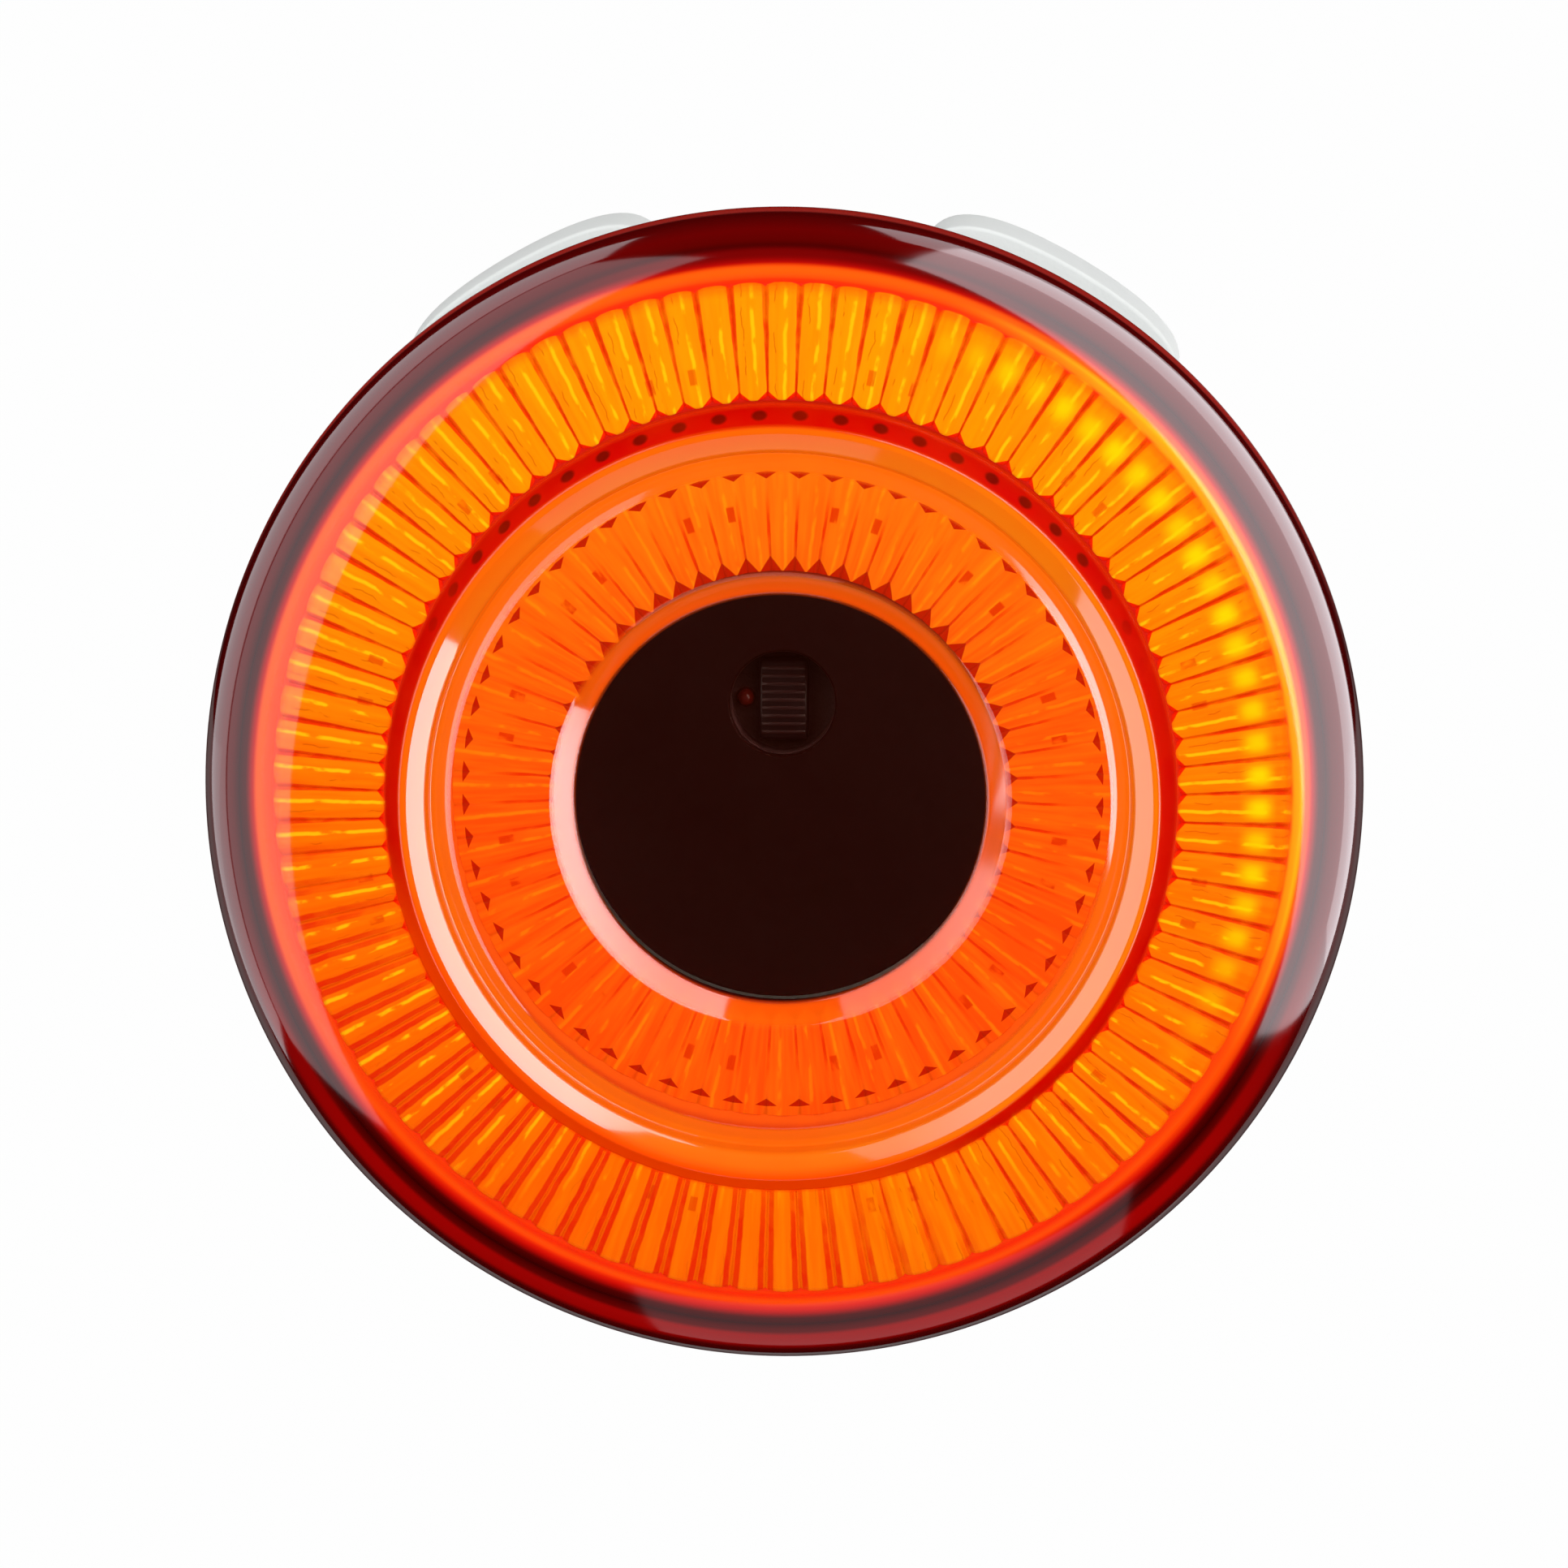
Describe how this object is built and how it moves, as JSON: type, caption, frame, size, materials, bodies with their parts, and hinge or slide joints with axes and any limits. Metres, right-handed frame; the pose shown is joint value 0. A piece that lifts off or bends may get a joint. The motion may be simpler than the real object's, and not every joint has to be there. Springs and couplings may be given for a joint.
{
  "type": "led warning light",
  "caption": "Round rechargeable LED warning light with a stepped orange lens, fluted diffuser, dark sensor window, side button, covered charging port and a quarter-turn strap bracket.",
  "frame": {"origin": "middle of the grip pad's flat back face, on the optical axis", "axes": "the lens faces -Y, +Z is twelve o'clock on the lens with the button at the top, +X is the viewer's right, +Y points out of the back"},
  "size_m": [0.04, 0.018, 0.04],
  "materials": {
    "lens": "polished clear orange-red polycarbonate",
    "diffuser": "fluted orange diffuser plastic",
    "mask": "black printed film",
    "foam": "black foam rubber",
    "sensor": "dark moulded resin",
    "charge_led": "clear red resin",
    "board": "white solder mask",
    "screw": "plated steel",
    "chip_led": "clear resin over a yellow phosphor",
    "socket": "stamped stainless shell",
    "switch": "black nylon",
    "plunger": "natural nylon",
    "chip": "black epoxy",
    "cell": "laminated foil pouch",
    "tape": "double-sided foam tape",
    "lead_red": "red silicone jacket",
    "lead_black": "black silicone jacket",
    "case": "black textured plastic",
    "seal": "black rubber ring",
    "button": "dark grey silicone",
    "cover": "dark grey silicone",
    "bracket": "pale grey moulded plastic",
    "pad": "black ribbed rubber"
  },
  "bodies": {
    "bracket": {"strap_bracket": "bracket", "grip_pad": "pad"},
    "lamp": {"front_lens": "lens", "fluted_diffuser": "diffuser", "sensor_mask": "mask", "sensor_shroud": "foam", "light_sensor": "sensor", "charge_led": "charge_led", "led_board": "board", "board_screw_1": "screw", "board_screw_2": "screw", "board_screw_3": "screw", "board_screw_4": "screw", "led_inner_01": "chip_led", "led_inner_02": "chip_led", "led_inner_03": "chip_led", "led_inner_04": "chip_led", "led_inner_05": "chip_led", "led_inner_06": "chip_led", "led_inner_07": "chip_led", "led_inner_08": "chip_led", "led_inner_09": "chip_led", "led_inner_10": "chip_led", "led_inner_11": "chip_led", "led_inner_12": "chip_led", "led_outer_01": "chip_led", "led_outer_02": "chip_led", "led_outer_03": "chip_led", "led_outer_04": "chip_led", "led_outer_05": "chip_led", "led_outer_06": "chip_led", "led_outer_07": "chip_led", "led_outer_08": "chip_led", "led_outer_09": "chip_led", "led_outer_10": "chip_led", "led_outer_11": "chip_led", "led_outer_12": "chip_led", "usb_socket": "socket", "switch_body": "switch", "control_chip": "chip", "battery_cell": "cell", "battery_tape": "tape", "battery_lead_red": "lead_red", "battery_lead_black": "lead_black", "rear_case": "case", "seal_ring": "seal", "cover_anchor": "cover"},
    "button": {"power_button": "button"},
    "plunger": {"switch_plunger": "plunger"},
    "cover": {"port_cover": "cover"}
  },
  "joints": [
    {"name": "mount_turn", "type": "hinge", "parent": "bracket", "child": "lamp", "pos_m": [0, 0, 0], "axis": [0, -1, 0], "range_deg": [0, 90]},
    {"name": "button_press", "type": "slide", "parent": "lamp", "child": "button", "axis": [0, 0, -1], "range_m": [0, 0.0005], "stiffness_N_per_m": 1000, "springref_m": -0.0005},
    {"name": "plunger_press", "type": "slide", "parent": "lamp", "child": "plunger", "axis": [0, 0, -1], "range_m": [0, 0.00025]},
    {"name": "cover_swing", "type": "hinge", "parent": "lamp", "child": "cover", "pos_m": [0.00568, -0.00935, -0.01834], "axis": [0, -1, 0], "range_deg": [0, 100], "stiffness_Nm_per_rad": 0.0001, "springref_deg": -11.46}
  ],
  "couplings": [
    {"joint": "plunger_press", "follows": "button_press", "ratio": 0.5}
  ]
}
